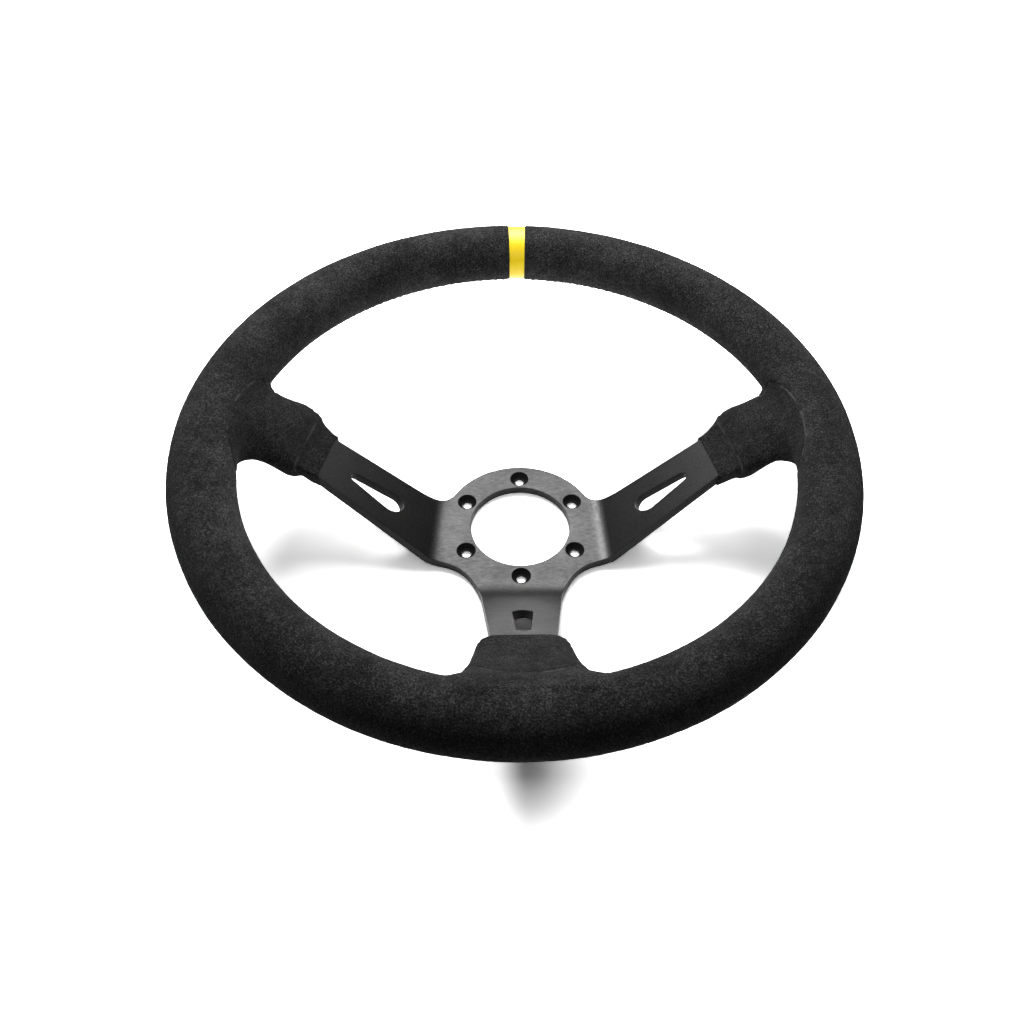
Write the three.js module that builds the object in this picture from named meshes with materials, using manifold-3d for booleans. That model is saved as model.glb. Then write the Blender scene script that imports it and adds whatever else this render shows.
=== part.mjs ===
// Dished three-spoke motorsport steering wheel: a bent plate carries a padded, suede-covered rim.
// Millimetres. The origin is the centre of the plate's back face, which bolts to a steering boss.
// +Z runs along the steering axis towards the driver, and +Y points at the top of the rim.
import * as THREE from 'three';
import { mergeVertices } from 'three/addons/utils/BufferGeometryUtils.js';
import Module from 'manifold-3d';

const manifold = await Module();
manifold.setup();

// Driving dimensions.
const OUTER_DIAMETER = 350;
const OVERALL_DEPTH = 90;
const GRIP_WIDTH = 32.5;
const GRIP_HEIGHT = 32;
const PLATE_THICKNESS = 5;
const BOLT_CIRCLE = 70;
const BORE_DIAMETER = 56;
const FOLD_DISTANCE = 45;
const SPOKE_SLOPE = THREE.MathUtils.degToRad(32.6);
const SIDE_FOLD_ANGLE = THREE.MathUtils.degToRad(4);
const SUEDE = 1.2;
const GAP = 0.3;
const MARKER_WIDTH = 9.6;

// The grip ring.
const GRIP_A = GRIP_WIDTH / 2;
const GRIP_B = GRIP_HEIGHT / 2;
const RIM_RADIUS = OUTER_DIAMETER / 2 - GRIP_A;
const RIM_HEIGHT = OVERALL_DEPTH - GRIP_B;
const RIM_STEPS = 48;
const GRIP_STEPS = 12;
const PADDING_INSET = SUEDE + GAP;
const MARKER_RECESS = 0.4;
const MARKER_SLICE_DEPTH = 80;

// The plate's plan.
const HUB_RADIUS = 44;
const LOWER_HUB_RADIUS = 45;
const SCREW_HOLE_RADIUS = 2.75;
const COUNTERSINK_RADIUS = 5.2;
const COUNTERSINK_DEPTH = 2.6;
const INNER_BEND_RADIUS = 18;
const FLANGE_BEND_RADIUS = 7;
const FLANGE_END_RADIUS = 166;

// A bent strip is made longer and wider than its spoke, then cut to the plate's plan.
const STRIP_START = 34;
const STRIP_END = 176;
const STRIP_WIDTH = 110;

// The flat blank ends here, inside each fold, where the bent strips take over.
const BLANK_END = 36;
const BLANK_CUT_LENGTH = 150;
const BLANK_CUT_HEIGHT = 40;

// The core ring and the rivets that hold it to the spokes.
const CORE_THICKNESS = 3;
const CORE_WIDTH = 13;
const CORE_DROP = 1;
const FLANGE_TOP = RIM_HEIGHT - CORE_THICKNESS / 2 - CORE_DROP;
const CORE_BOTTOM = FLANGE_TOP + GAP;
const CORE_TOP = CORE_BOTTOM + CORE_THICKNESS;
const RIVET_RADIUS = 2.4;
const RIVET_HEAD_RADIUS = 4;
const RIVET_HEAD_HEIGHT = 1.6;
const RIVET_HEAD_CROWN = RIVET_HEAD_RADIUS * 0.8;
const RIVET_HOLE_RADIUS = RIVET_RADIUS + GAP;
const RIVET_SPREAD = THREE.MathUtils.degToRad(2.3);
const SIDE_SPOKE_ANGLE = THREE.MathUtils.degToRad(10.9);

// The lacing seam on the back of the grip's inner side.
const SEAM_ANGLE = THREE.MathUtils.degToRad(232);
const SEAM_SLIT = 1.6;
const BOOT_SLIT_RADIUS = 1.12;
const THREAD_RADIUS = 0.5;

const ABOVE = OVERALL_DEPTH + 20;
const BELOW = -10;
const FINE_SIDES = 48;
const HOLE_SIDES = 16;
const RIVET_SIDES = 12;
const UP = Math.PI / 2;
const DOWN = -Math.PI / 2;

const MATERIALS = {
  plate: new THREE.MeshStandardMaterial({ color: 0x2a2a2c, roughness: 0.45, metalness: 0.9 }),
  core: new THREE.MeshStandardMaterial({ color: 0xb5b7ba, roughness: 0.4, metalness: 1 }),
  rivet: new THREE.MeshStandardMaterial({ color: 0xc4c6c9, roughness: 0.35, metalness: 1 }),
  foam: new THREE.MeshStandardMaterial({ color: 0x202022, roughness: 0.9, metalness: 0 }),
  suede: new THREE.MeshStandardMaterial({ color: 0x1c1c1d, roughness: 1, metalness: 0 }),
  marker: new THREE.MeshStandardMaterial({ color: 0xf6d21a, roughness: 0.6, metalness: 0 }),
  thread: new THREE.MeshStandardMaterial({ color: 0x101011, roughness: 0.8, metalness: 0 }),
};

// ---- Solids ----

function signedVolume(position, index) {
  const a = new THREE.Vector3();
  const b = new THREE.Vector3();
  const c = new THREE.Vector3();
  let volume = 0;
  for (let i = 0; i < index.length; i += 3) {
    a.fromBufferAttribute(position, index[i]);
    b.fromBufferAttribute(position, index[i + 1]);
    c.fromBufferAttribute(position, index[i + 2]);
    volume += a.dot(b.cross(c)) / 6;
  }
  return volume;
}

function solid(geometry) {
  const bare = geometry.clone();
  bare.deleteAttribute('normal');
  bare.deleteAttribute('uv');
  const merged = mergeVertices(bare, 1e-4);
  const index = Uint32Array.from(merged.index.array);
  if (signedVolume(merged.attributes.position, index) < 0) {
    for (let i = 0; i < index.length; i += 3) {
      [index[i + 1], index[i + 2]] = [index[i + 2], index[i + 1]];
    }
  }
  const kept = [];
  for (let i = 0; i < index.length; i += 3) {
    const [p, q, r] = index.subarray(i, i + 3);
    if (p !== q && q !== r && r !== p) kept.push(p, q, r);
  }
  return new manifold.Manifold(new manifold.Mesh({
    numProp: 3,
    vertProperties: Float32Array.from(merged.attributes.position.array),
    triVerts: Uint32Array.from(kept),
  }));
}

function geometryOf(body) {
  const mesh = body.getMesh();
  const geometry = new THREE.BufferGeometry();
  geometry.setAttribute('position', new THREE.BufferAttribute(Float32Array.from(mesh.vertProperties), 3));
  geometry.setIndex(new THREE.BufferAttribute(Uint32Array.from(mesh.triVerts), 1));
  geometry.computeVertexNormals();
  return geometry;
}

// A ring turned about Z from a closed outline of (radius, height) points.
function turned(points, steps = RIM_STEPS) {
  const outline = [...points, points[0]].map(([x, y]) => new THREE.Vector2(x, y));
  return solid(new THREE.LatheGeometry(outline, steps).rotateX(UP));
}

function ellipsePoints(centreRadius, centreHeight, a, b, steps) {
  return Array.from({ length: steps }, (_, i) => {
    const angle = (i / steps) * 2 * Math.PI;
    return [centreRadius + a * Math.cos(angle), centreHeight + b * Math.sin(angle)];
  });
}

// The grip as a plain ring, drawn in from the suede's outer face by inset.
function gripRing(inset) {
  return turned(ellipsePoints(RIM_RADIUS, RIM_HEIGHT, GRIP_A - inset, GRIP_B - inset, GRIP_STEPS));
}

// An upright prism over a plan shape.
function prism(shape, bottom, top, curveSegments = 8) {
  const options = { depth: top - bottom, bevelEnabled: false, curveSegments };
  return solid(new THREE.ExtrudeGeometry(shape, options).translate(0, 0, bottom));
}

function polygon(points) {
  return new THREE.Shape(points.map(([x, y]) => new THREE.Vector2(x, y)));
}

function disc(radius, x = 0, y = 0) {
  const shape = new THREE.Shape();
  shape.absarc(x, y, radius, 0, 2 * Math.PI);
  return shape;
}

function upright(radiusBottom, radiusTop, bottom, top, x, y, sides) {
  const cylinder = new THREE.CylinderGeometry(radiusTop, radiusBottom, top - bottom, sides);
  return solid(cylinder.rotateX(UP).translate(x, y, (top + bottom) / 2));
}

// A closed skin through a row of equal rings of points, with flat ends.
function loft(rings) {
  const count = rings[0].length;
  const points = rings.flat();
  const index = [];
  for (let ring = 0; ring < rings.length - 1; ring += 1) {
    for (let i = 0; i < count; i += 1) {
      const a = ring * count + i;
      const b = ring * count + ((i + 1) % count);
      index.push(a, b, b + count, a, b + count, a + count);
    }
  }
  const last = (rings.length - 1) * count;
  for (let i = 1; i < count - 1; i += 1) {
    index.push(0, i + 1, i, last, last + i, last + i + 1);
  }
  const geometry = new THREE.BufferGeometry().setFromPoints(points);
  geometry.setIndex(index);
  return solid(geometry);
}

// ---- The spokes' side view and plan ----

// Height of the plate's top face above the plan point (x, y) on a spoke that folds at foldAngle.
function spokeTop(x, y, foldAngle) {
  const out = x * Math.cos(foldAngle) + y * Math.sin(foldAngle);
  return PLATE_THICKNESS + (out - FOLD_DISTANCE) * Math.tan(SPOKE_SLOPE);
}

// One spoke's strip: flat at the hub, sloping up, then flat again inside the grip.
function spokeStrip(foldAngle, grow = 0) {
  const half = Math.tan(SPOKE_SLOPE / 2);
  const hubBend = FOLD_DISTANCE - INNER_BEND_RADIUS * half;
  const flangeFold = FOLD_DISTANCE + (FLANGE_TOP - PLATE_THICKNESS) / Math.tan(SPOKE_SLOPE);
  const flangeTopRadius = FLANGE_BEND_RADIUS + PLATE_THICKNESS;
  const flangeBend = flangeFold + flangeTopRadius * half;
  const flangeBottom = FLANGE_TOP - PLATE_THICKNESS;
  const hubCentre = PLATE_THICKNESS + INNER_BEND_RADIUS;
  const flangeCentre = FLANGE_TOP - flangeTopRadius;
  const shape = new THREE.Shape();
  shape.moveTo(STRIP_START, -grow);
  shape.lineTo(hubBend, -grow);
  shape.absarc(hubBend, hubCentre, hubCentre + grow, DOWN, DOWN + SPOKE_SLOPE, false);
  shape.absarc(flangeBend, flangeCentre, FLANGE_BEND_RADIUS - grow, UP + SPOKE_SLOPE, UP, true);
  shape.lineTo(STRIP_END, flangeBottom - grow);
  shape.lineTo(STRIP_END, FLANGE_TOP + grow);
  shape.absarc(flangeBend, flangeCentre, flangeTopRadius + grow, UP, UP + SPOKE_SLOPE, false);
  shape.absarc(hubBend, hubCentre, INNER_BEND_RADIUS - grow, DOWN + SPOKE_SLOPE, DOWN, true);
  shape.lineTo(STRIP_START, PLATE_THICKNESS + grow);
  const options = { depth: STRIP_WIDTH, bevelEnabled: false, curveSegments: 5 };
  const strip = new THREE.ExtrudeGeometry(shape, options).rotateX(UP);
  return solid(strip.translate(0, STRIP_WIDTH / 2, 0).rotateZ(foldAngle));
}

// Plan edges of the right-hand spoke outside the hub, top edge then bottom edge.
const SIDE_TOP_EDGE = [[58, 18.9], [108, 33.2], [172, 46]];
const SIDE_BOTTOM_EDGE = [[50, -24.4], [108, 2.8], [172, 22]];
const BOTTOM_EDGE = [[21.6, -50], [15.8, -98], [15.8, -172]];

const mirrored = (points) => points.map(([x, y]) => [-x, y]);

// The right half of the plate's outline, from twelve o'clock round to six o'clock.
function rightHalfOutline() {
  const leave = THREE.MathUtils.degToRad(31.7);
  const path = new THREE.Path();
  path.absarc(0, 0, HUB_RADIUS, UP, leave, true);
  path.quadraticCurveTo(42.7, 14.5, ...SIDE_TOP_EDGE[0]);
  SIDE_TOP_EDGE.slice(1).forEach((point) => path.lineTo(...point));
  SIDE_BOTTOM_EDGE.toReversed().forEach((point) => path.lineTo(...point));
  const cusp = LOWER_HUB_RADIUS * Math.SQRT1_2;
  path.quadraticCurveTo(37.5, -26.2, cusp, -cusp);
  path.quadraticCurveTo(24.8, -38.5, ...BOTTOM_EDGE[0]);
  BOTTOM_EDGE.slice(1).forEach((point) => path.lineTo(...point));
  return path.getPoints(6).map((point) => [point.x, point.y]);
}

function plateOutline() {
  const right = rightHalfOutline();
  const left = mirrored(right).toReversed();
  return polygon([...right, ...left.slice(0, -1)]);
}

// Spoke plans beyond the hub, widened by grow, for the slots in the padding and the cuffs.
function spokePlan(name, grow) {
  if (name === 'bottom') {
    const edge = BOTTOM_EDGE.map(([x, y]) => [x + grow, y]);
    return polygon([...edge, ...mirrored(edge).toReversed()]);
  }
  const top = SIDE_TOP_EDGE.map(([x, y]) => [x, y + grow]);
  const bottom = SIDE_BOTTOM_EDGE.map(([x, y]) => [x, y - grow]);
  const outline = [...top, ...bottom.toReversed()];
  return polygon(name === 'right' ? outline : mirrored(outline));
}

const SPOKES = [
  { name: 'right', foldAngle: SIDE_FOLD_ANGLE, rimAngle: SIDE_SPOKE_ANGLE, side: 1 },
  { name: 'left', foldAngle: Math.PI - SIDE_FOLD_ANGLE, rimAngle: Math.PI - SIDE_SPOKE_ANGLE, side: -1 },
  { name: 'bottom', foldAngle: DOWN, rimAngle: DOWN, side: 1 },
];

// A spoke with everything on it thicker by grow, out to a given radius. Its long edges lie up to
// 16 degrees off the axes that the plan is widened along, so the plan gets a twentieth more.
function spokeBody(spoke, grow, endRadius) {
  const plan = prism(spokePlan(spoke.name, grow * 1.05), BELOW, ABOVE);
  const reach = prism(disc(endRadius), BELOW, ABOVE, FINE_SIDES);
  return spokeStrip(spoke.foldAngle, grow).intersect(plan).intersect(reach);
}

function rivetPlaces(spoke) {
  return [-1, 1].map((sign) => {
    const angle = spoke.rimAngle + sign * RIVET_SPREAD;
    return [RIM_RADIUS * Math.cos(angle), RIM_RADIUS * Math.sin(angle)];
  });
}

// ---- The plate ----

// A teardrop slot, wide at the hub end.
function teardrop(side) {
  const hubEnd = { x: 70.8, y: 3.9, radius: 5.7 };
  const tip = { x: 89.4, y: 10.9, radius: 2.7 };
  const length = Math.hypot(tip.x - hubEnd.x, tip.y - hubEnd.y);
  const heading = Math.atan2(tip.y - hubEnd.y, tip.x - hubEnd.x);
  const lean = Math.acos((hubEnd.radius - tip.radius) / length);
  const path = new THREE.Path();
  path.absarc(tip.x, tip.y, tip.radius, heading - lean, heading + lean, false);
  path.absarc(hubEnd.x, hubEnd.y, hubEnd.radius, heading + lean, heading - lean + 2 * Math.PI, false);
  return polygon(path.getPoints(8).map((point) => [side * point.x, point.y]));
}

// The small window in the bottom spoke, arched on its hub side.
function bottomWindow() {
  const shape = new THREE.Shape();
  shape.moveTo(-5.3, -68.2);
  shape.lineTo(-3.7, -82.7);
  shape.quadraticCurveTo(0, -83.6, 3.7, -82.7);
  shape.lineTo(5.3, -68.2);
  shape.quadraticCurveTo(0, -64.2, -5.3, -68.2);
  return shape;
}

function spokePlate() {
  const outline = plateOutline();
  const zones = SPOKES.map((spoke) => {
    const zone = new THREE.BoxGeometry(BLANK_CUT_LENGTH, STRIP_WIDTH, BLANK_CUT_HEIGHT);
    zone.translate(BLANK_END + BLANK_CUT_LENGTH / 2, 0, 0).rotateZ(spoke.foldAngle);
    return solid(zone);
  });
  let plate = prism(outline, 0, PLATE_THICKNESS, 24);
  zones.forEach((zone) => {
    plate = plate.subtract(zone);
  });
  const column = prism(outline, BELOW, ABOVE, 24);
  SPOKES.forEach((spoke) => {
    plate = plate.add(spokeStrip(spoke.foldAngle).intersect(column));
  });
  plate = plate.intersect(prism(disc(FLANGE_END_RADIUS), BELOW, ABOVE, FINE_SIDES));
  plate = plate.subtract(prism(disc(BORE_DIAMETER / 2), BELOW, ABOVE, FINE_SIDES));
  for (let i = 0; i < 6; i += 1) {
    const angle = UP + (i * Math.PI) / 3;
    const x = (BOLT_CIRCLE / 2) * Math.cos(angle);
    const y = (BOLT_CIRCLE / 2) * Math.sin(angle);
    const seat = PLATE_THICKNESS - COUNTERSINK_DEPTH;
    plate = plate.subtract(upright(SCREW_HOLE_RADIUS, SCREW_HOLE_RADIUS, BELOW, ABOVE, x, y, HOLE_SIDES));
    const overshoot = 0.5;
    const widening = (COUNTERSINK_RADIUS - SCREW_HOLE_RADIUS) / COUNTERSINK_DEPTH;
    const mouth = COUNTERSINK_RADIUS + overshoot * widening;
    const top = PLATE_THICKNESS + overshoot;
    plate = plate.subtract(upright(SCREW_HOLE_RADIUS, mouth, seat, top, x, y, HOLE_SIDES));
  }
  [teardrop(1), teardrop(-1), bottomWindow()].forEach((opening) => {
    plate = plate.subtract(prism(opening, BELOW, ABOVE));
  });
  SPOKES.flatMap(rivetPlaces).forEach(([x, y]) => {
    plate = plate.subtract(upright(RIVET_HOLE_RADIUS, RIVET_HOLE_RADIUS, BELOW, ABOVE, x, y, RIVET_SIDES));
  });
  return plate;
}

// ---- The core ring and rivets ----

function coreRing(grow) {
  const inner = RIM_RADIUS - CORE_WIDTH / 2 - grow;
  const outer = RIM_RADIUS + CORE_WIDTH / 2 + grow;
  const low = CORE_BOTTOM - grow;
  const high = CORE_TOP + grow;
  return turned([[inner, low], [outer, low], [outer, high], [inner, high]]);
}

function rimCore() {
  let ring = coreRing(0);
  SPOKES.flatMap(rivetPlaces).forEach(([x, y]) => {
    ring = ring.subtract(upright(RIVET_HOLE_RADIUS, RIVET_HOLE_RADIUS, BELOW, ABOVE, x, y, RIVET_SIDES));
  });
  return ring;
}

const RIVET_LOW = FLANGE_TOP - PLATE_THICKNESS - GAP;
const RIVET_HIGH = CORE_TOP + GAP;

function rivet([x, y]) {
  const outline = [
    [0, RIVET_LOW - RIVET_HEAD_HEIGHT],
    [RIVET_HEAD_CROWN, RIVET_LOW - RIVET_HEAD_HEIGHT],
    [RIVET_HEAD_RADIUS, RIVET_LOW],
    [RIVET_RADIUS, RIVET_LOW],
    [RIVET_RADIUS, RIVET_HIGH],
    [RIVET_HEAD_RADIUS, RIVET_HIGH],
    [RIVET_HEAD_CROWN, RIVET_HIGH + RIVET_HEAD_HEIGHT],
    [0, RIVET_HIGH + RIVET_HEAD_HEIGHT],
  ].map(([radius, height]) => new THREE.Vector2(radius, height));
  return solid(new THREE.LatheGeometry(outline, RIVET_SIDES).rotateX(UP).translate(x, y, 0));
}

function rivetPocket([x, y]) {
  const radius = RIVET_HEAD_RADIUS + GAP;
  const low = RIVET_LOW - RIVET_HEAD_HEIGHT - GAP;
  const high = RIVET_HIGH + RIVET_HEAD_HEIGHT + GAP;
  return upright(radius, radius, low, high, x, y, RIVET_SIDES);
}

// ---- The padded spoke roots ----

// Sections of a padded root, hub end first: plan centre, heading of the section's normal, half
// width, and how far the suede stands above and below the middle of the plate.
const HALF_PLATE = PLATE_THICKNESS / 2 / Math.cos(SPOKE_SLOPE);
const SIDE_ROOT = [
  { x: 112.4, y: 18.9, heading: 16.5, half: 17.4, up: 6.2, down: 6.2 },
  { x: 114.5, y: 19.6, heading: 16, half: 20.4, up: 7.8, down: 7.2 },
  { x: 119, y: 20.9, heading: 14, half: 22, up: 9, down: 7.8 },
  { x: 127, y: 22.4, heading: 11, half: 22.8, up: 11, down: 8.2 },
  { x: 136, y: 23.4, heading: 9, half: 23.6, up: 13.6, down: 8.4 },
  { x: 143, y: 23, heading: 8, half: 27, up: 15.4, down: 8.4 },
  { x: 151, y: 21, heading: 8, half: 31, up: 14, down: 7 },
];
const BOTTOM_ROOT = [
  { x: 0, y: -95.5, heading: -90, half: 17.6, up: 6, down: 6 },
  { x: 0, y: -98, heading: -90, half: 19.2, up: 7.6, down: 7 },
  { x: 0, y: -104, heading: -90, half: 21, up: 9, down: 7.8 },
  { x: 0, y: -114, heading: -90, half: 23.6, up: 10.8, down: 8.2 },
  { x: 0, y: -124, heading: -90, half: 25.6, up: 12.6, down: 8.4 },
  { x: 0, y: -134, heading: -90, half: 28.6, up: 15, down: 8.4 },
  { x: 0, y: -142, heading: -90, half: 32.4, up: 16.6, down: 8.4 },
  { x: 0, y: -151, heading: -90, half: 35, up: 14.6, down: 7 },
];
const SECTION_POINTS = 16;
const SECTION_POWER = 0.72;
const RIM_END_INSET = 0.5;

function sectionRing(section, spoke, inset, setBack) {
  const heading = THREE.MathUtils.degToRad(section.heading);
  const ring = [];
  for (let i = 0; i < SECTION_POINTS; i += 1) {
    const turn = (i / SECTION_POINTS) * 2 * Math.PI;
    const cos = Math.sign(Math.cos(turn)) * Math.abs(Math.cos(turn)) ** SECTION_POWER;
    const sin = Math.sign(Math.sin(turn)) * Math.abs(Math.sin(turn)) ** SECTION_POWER;
    const across = cos * (section.half - inset);
    const rise = sin * ((sin > 0 ? section.up : section.down) - inset);
    const x = spoke.side * (section.x + setBack * Math.cos(heading) - across * Math.sin(heading));
    const y = section.y + setBack * Math.sin(heading) + across * Math.cos(heading);
    const middle = spokeTop(x, y, spoke.foldAngle) - HALF_PLATE;
    ring.push(new THREE.Vector3(x, y, middle + rise));
  }
  return ring;
}

// A padded root's skin, drawn in from the suede's outer face by inset, its hub end included. The
// rim end lies inside the grip and is drawn in a little more, clear of the grip's outer face.
function root(spoke, inset) {
  const sections = spoke.name === 'bottom' ? BOTTOM_ROOT : SIDE_ROOT;
  return loft(sections.map((section, i) => {
    const last = i === sections.length - 1;
    return sectionRing(section, spoke, last ? inset + RIM_END_INSET : inset, i === 0 ? inset : 0);
  }));
}

// The cuff: the suede's tail that lies straight on the plate, hubwards of the padding.
const CUFF_PLAN = [[99.3, 38], [101.5, 23.5], [104.8, 10], [108.6, -6], [121, -6], [113, 38]];

function cuff(spoke) {
  const plan = polygon(spoke.side > 0 ? CUFF_PLAN : mirrored(CUFF_PLAN));
  return spokeBody(spoke, PADDING_INSET, RIM_RADIUS).intersect(prism(plan, BELOW, ABOVE));
}

// The line along a root's underside where the cover's edges are sewn together.
function rootSeamPath(spoke) {
  const sections = spoke.name === 'bottom' ? BOTTOM_ROOT : SIDE_ROOT;
  return sections.slice(1, -2).map((section) => {
    const x = spoke.side * section.x;
    const height = spokeTop(x, section.y, spoke.foldAngle) - HALF_PLATE - section.down + SUEDE / 2;
    return new THREE.Vector3(x, section.y, height);
  });
}

function swept(points, halfWidth, halfHeight, sides) {
  const section = new THREE.Shape();
  for (let i = 0; i < sides; i += 1) {
    const angle = ((i + 0.5) / sides) * 2 * Math.PI;
    const place = [halfWidth * Math.cos(angle), halfHeight * Math.sin(angle)];
    section[i === 0 ? 'moveTo' : 'lineTo'](...place);
  }
  const extrudePath = new THREE.CatmullRomCurve3(points);
  const steps = 2 * (points.length - 1);
  return solid(new THREE.ExtrudeGeometry(section, { steps, extrudePath, bevelEnabled: false }));
}

function bootSlit(spoke) {
  return swept(rootSeamPath(spoke), BOOT_SLIT_RADIUS, BOOT_SLIT_RADIUS, 8);
}

// ---- Padding and covers ----

function rimFoam() {
  let foam = gripRing(PADDING_INSET);
  SPOKES.forEach((spoke) => {
    foam = foam.add(root(spoke, PADDING_INSET));
  });
  foam = foam.subtract(coreRing(GAP));
  SPOKES.forEach((spoke) => {
    foam = foam.subtract(spokeBody(spoke, GAP, FLANGE_END_RADIUS + GAP));
    rivetPlaces(spoke).forEach((place) => {
      foam = foam.subtract(rivetPocket(place));
    });
  });
  return foam;
}

// Everything within half of MARKER_WIDTH plus grow of twelve o'clock.
function markerSlice(grow) {
  const width = MARKER_WIDTH + 2 * grow;
  const slice = new THREE.BoxGeometry(width, MARKER_SLICE_DEPTH, MARKER_SLICE_DEPTH);
  return solid(slice.translate(0, RIM_RADIUS, RIM_HEIGHT));
}

function centreMarker() {
  return gripRing(MARKER_RECESS).subtract(gripRing(SUEDE)).intersect(markerSlice(0));
}

// The seam's place on a grip section, at a depth below the suede's outer face.
function seamPoint(depth) {
  const radius = RIM_RADIUS + (GRIP_A - depth) * Math.cos(SEAM_ANGLE);
  return [radius, RIM_HEIGHT + (GRIP_B - depth) * Math.sin(SEAM_ANGLE)];
}

function seamSlit() {
  const [outerRadius, outerHeight] = seamPoint(-2);
  const [innerRadius, innerHeight] = seamPoint(SUEDE + 2);
  const acrossRadius = (-Math.sin(SEAM_ANGLE) * SEAM_SLIT) / 2;
  const acrossHeight = (Math.cos(SEAM_ANGLE) * SEAM_SLIT) / 2;
  return turned([
    [outerRadius - acrossRadius, outerHeight - acrossHeight],
    [outerRadius + acrossRadius, outerHeight + acrossHeight],
    [innerRadius + acrossRadius, innerHeight + acrossHeight],
    [innerRadius - acrossRadius, innerHeight - acrossHeight],
  ]);
}

function rimCover() {
  let cover = gripRing(0).subtract(gripRing(SUEDE));
  cover = cover.subtract(markerSlice(GAP)).subtract(seamSlit());
  SPOKES.forEach((spoke) => {
    cover = cover.subtract(root(spoke, -GAP));
  });
  return cover;
}

function spokeBoot(spoke) {
  let boot = root(spoke, 0);
  if (spoke.name !== 'bottom') boot = boot.add(cuff(spoke));
  boot = boot.subtract(root(spoke, SUEDE));
  boot = boot.subtract(spokeBody(spoke, GAP, RIM_RADIUS));
  boot = boot.subtract(gripRing(SUEDE));
  return boot.subtract(bootSlit(spoke));
}

// ---- Thread ----

const RIM_THREADS = [
  { name: 'upper_right', from: 24, to: 87 },
  { name: 'upper_left', from: 93, to: 156 },
  { name: 'lower_left', from: 192, to: 254 },
  { name: 'lower_right', from: 286, to: 348 },
];

function rimThread({ from, to }) {
  const [radius, height] = seamPoint(SUEDE / 2);
  const ring = turned(ellipsePoints(radius, height, THREAD_RADIUS, THREAD_RADIUS, 6));
  const reach = OUTER_DIAMETER;
  const sector = new THREE.Shape();
  sector.absarc(0, 0, reach, THREE.MathUtils.degToRad(from), THREE.MathUtils.degToRad(to), false);
  sector.lineTo(0, 0);
  return ring.intersect(prism(sector, BELOW, ABOVE));
}

function bootThread(spoke) {
  return swept(rootSeamPath(spoke), THREAD_RADIUS, THREAD_RADIUS, 6);
}

// ---- Assembly ----

const wheel = new THREE.Group();

function place(name, body, material) {
  const mesh = new THREE.Mesh(geometryOf(body), material);
  mesh.name = name;
  wheel.add(mesh);
}

place('spoke_plate', spokePlate(), MATERIALS.plate);
place('rim_core', rimCore(), MATERIALS.core);
SPOKES.forEach((spoke) => {
  rivetPlaces(spoke).forEach((spot, i) => {
    place(`${spoke.name}_rivet_${i + 1}`, rivet(spot), MATERIALS.rivet);
  });
});
place('rim_foam', rimFoam(), MATERIALS.foam);
place('rim_cover', rimCover(), MATERIALS.suede);
place('centre_marker', centreMarker(), MATERIALS.marker);
SPOKES.forEach((spoke) => {
  place(`${spoke.name}_spoke_boot`, spokeBoot(spoke), MATERIALS.suede);
  place(`${spoke.name}_boot_thread`, bootThread(spoke), MATERIALS.thread);
});
RIM_THREADS.forEach((thread) => {
  place(`rim_thread_${thread.name}`, rimThread(thread), MATERIALS.thread);
});

export default wheel;
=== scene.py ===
"""Looks for the dished three-spoke steering wheel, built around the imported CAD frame.

Shapes are worked out in millimetres in the row's frame and turned into metres when a mesh is made.
The grip ring and the padded spoke roots share one blended surface. The suede pieces are cut from it
along their seams, so that neighbouring pieces meet exactly."""

import math
from dataclasses import dataclass, replace

import bmesh
import bpy
import numpy as np
from mathutils import Matrix, Vector, geometry, noise


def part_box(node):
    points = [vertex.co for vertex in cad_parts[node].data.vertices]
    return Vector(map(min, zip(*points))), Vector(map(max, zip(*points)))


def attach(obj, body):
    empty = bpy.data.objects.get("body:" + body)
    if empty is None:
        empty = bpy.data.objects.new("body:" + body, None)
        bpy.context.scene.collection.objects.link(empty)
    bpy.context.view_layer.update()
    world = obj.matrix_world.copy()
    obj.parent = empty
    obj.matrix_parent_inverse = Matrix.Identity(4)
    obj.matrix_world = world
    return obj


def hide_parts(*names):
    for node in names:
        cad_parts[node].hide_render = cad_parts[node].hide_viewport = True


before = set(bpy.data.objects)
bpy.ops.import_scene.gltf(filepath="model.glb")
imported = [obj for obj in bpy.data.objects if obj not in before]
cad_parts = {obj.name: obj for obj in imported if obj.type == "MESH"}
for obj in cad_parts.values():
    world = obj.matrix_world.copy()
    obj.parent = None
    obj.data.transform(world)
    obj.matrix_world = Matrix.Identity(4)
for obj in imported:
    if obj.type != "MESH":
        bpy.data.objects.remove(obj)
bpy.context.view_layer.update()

MM = 0.001  # metres in a millimetre
FAR = 1e3  # a distance past everything

# ---- Driving dimensions, millimetres and radians ----

COVER_LOW, COVER_HIGH = (np.array(corner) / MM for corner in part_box("rim_cover"))
OUTER_RADIUS = COVER_HIGH[0]
GRIP_HALF_WIDTH = 32.5 / 2
GRIP_HALF_HEIGHT = (COVER_HIGH[2] - COVER_LOW[2]) / 2
RIM_RADIUS = OUTER_RADIUS - GRIP_HALF_WIDTH
RIM_HEIGHT = (COVER_HIGH[2] + COVER_LOW[2]) / 2
PLATE = 5.0  # thickness; the hub's underside lies at height 0
FOLD = 45.0  # from the wheel's axis to the line where a spoke begins to rise
SLOPE = math.radians(32.6)
SIDE_FOLD = math.radians(4)
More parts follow.
